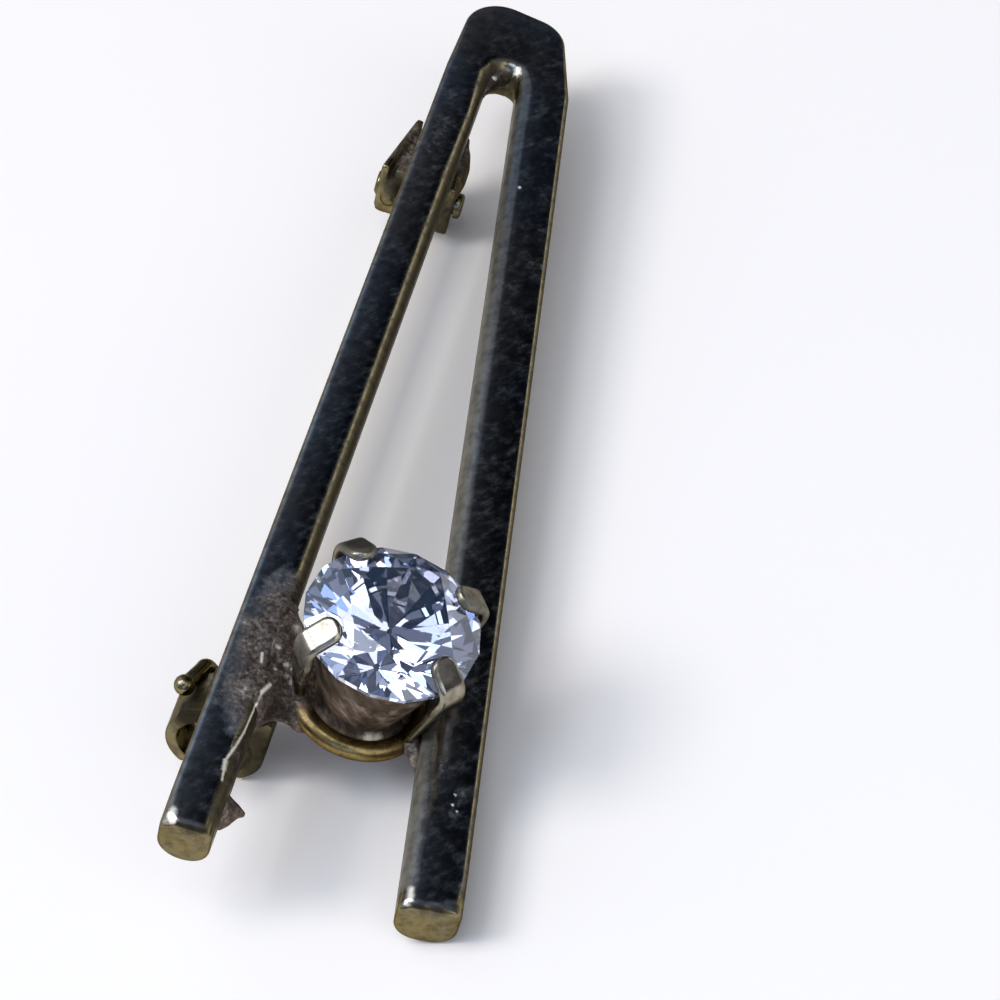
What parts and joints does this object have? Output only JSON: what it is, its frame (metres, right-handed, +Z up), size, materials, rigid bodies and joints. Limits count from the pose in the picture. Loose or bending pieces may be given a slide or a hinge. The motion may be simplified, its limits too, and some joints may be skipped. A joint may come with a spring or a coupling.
{
  "type": "bar brooch",
  "caption": "V-shaped bar brooch: one bent flat-fronted wire, a claw-set round stone between its legs, and a riveted pin with a roll-over safety catch behind one leg.",
  "frame": {"origin": "middle of the floor under the brooch as it lies", "axes": "+Y along the left leg from its cut end towards the bend, +X towards the right leg, +Z up; the brooch lies on its hinge, its catch and the right leg's end, rolled 21.4 degrees about +Y"},
  "size_m": [0.0121, 0.0424, 0.0084],
  "materials": {
    "gold_tone_metal": "polished gold-tone plate, finely scratched, with brown tarnish round the solder",
    "cut_stone": "clear faceted stone, polished",
    "pin_wire": "drawn wire, satin"
  },
  "bodies": {
    "root": {"brooch_frame": "gold_tone_metal", "stone": "cut_stone", "hinge_rivet": "gold_tone_metal"},
    "pin": {"pin_stem": "pin_wire"},
    "lever": {"catch_lever": "gold_tone_metal"}
  },
  "joints": [
    {"name": "pin_swing", "type": "hinge", "parent": "root", "child": "pin", "pos_m": [-0.00424, 0.01301, 0.00175], "axis": [0.9308, 0, -0.3655], "range_deg": [0, 100]},
    {"name": "lever_turn", "type": "hinge", "parent": "root", "child": "lever", "pos_m": [-0.00424, -0.01379, 0.00175], "axis": [0, -1, 0], "range_deg": [0, 90]}
  ]
}
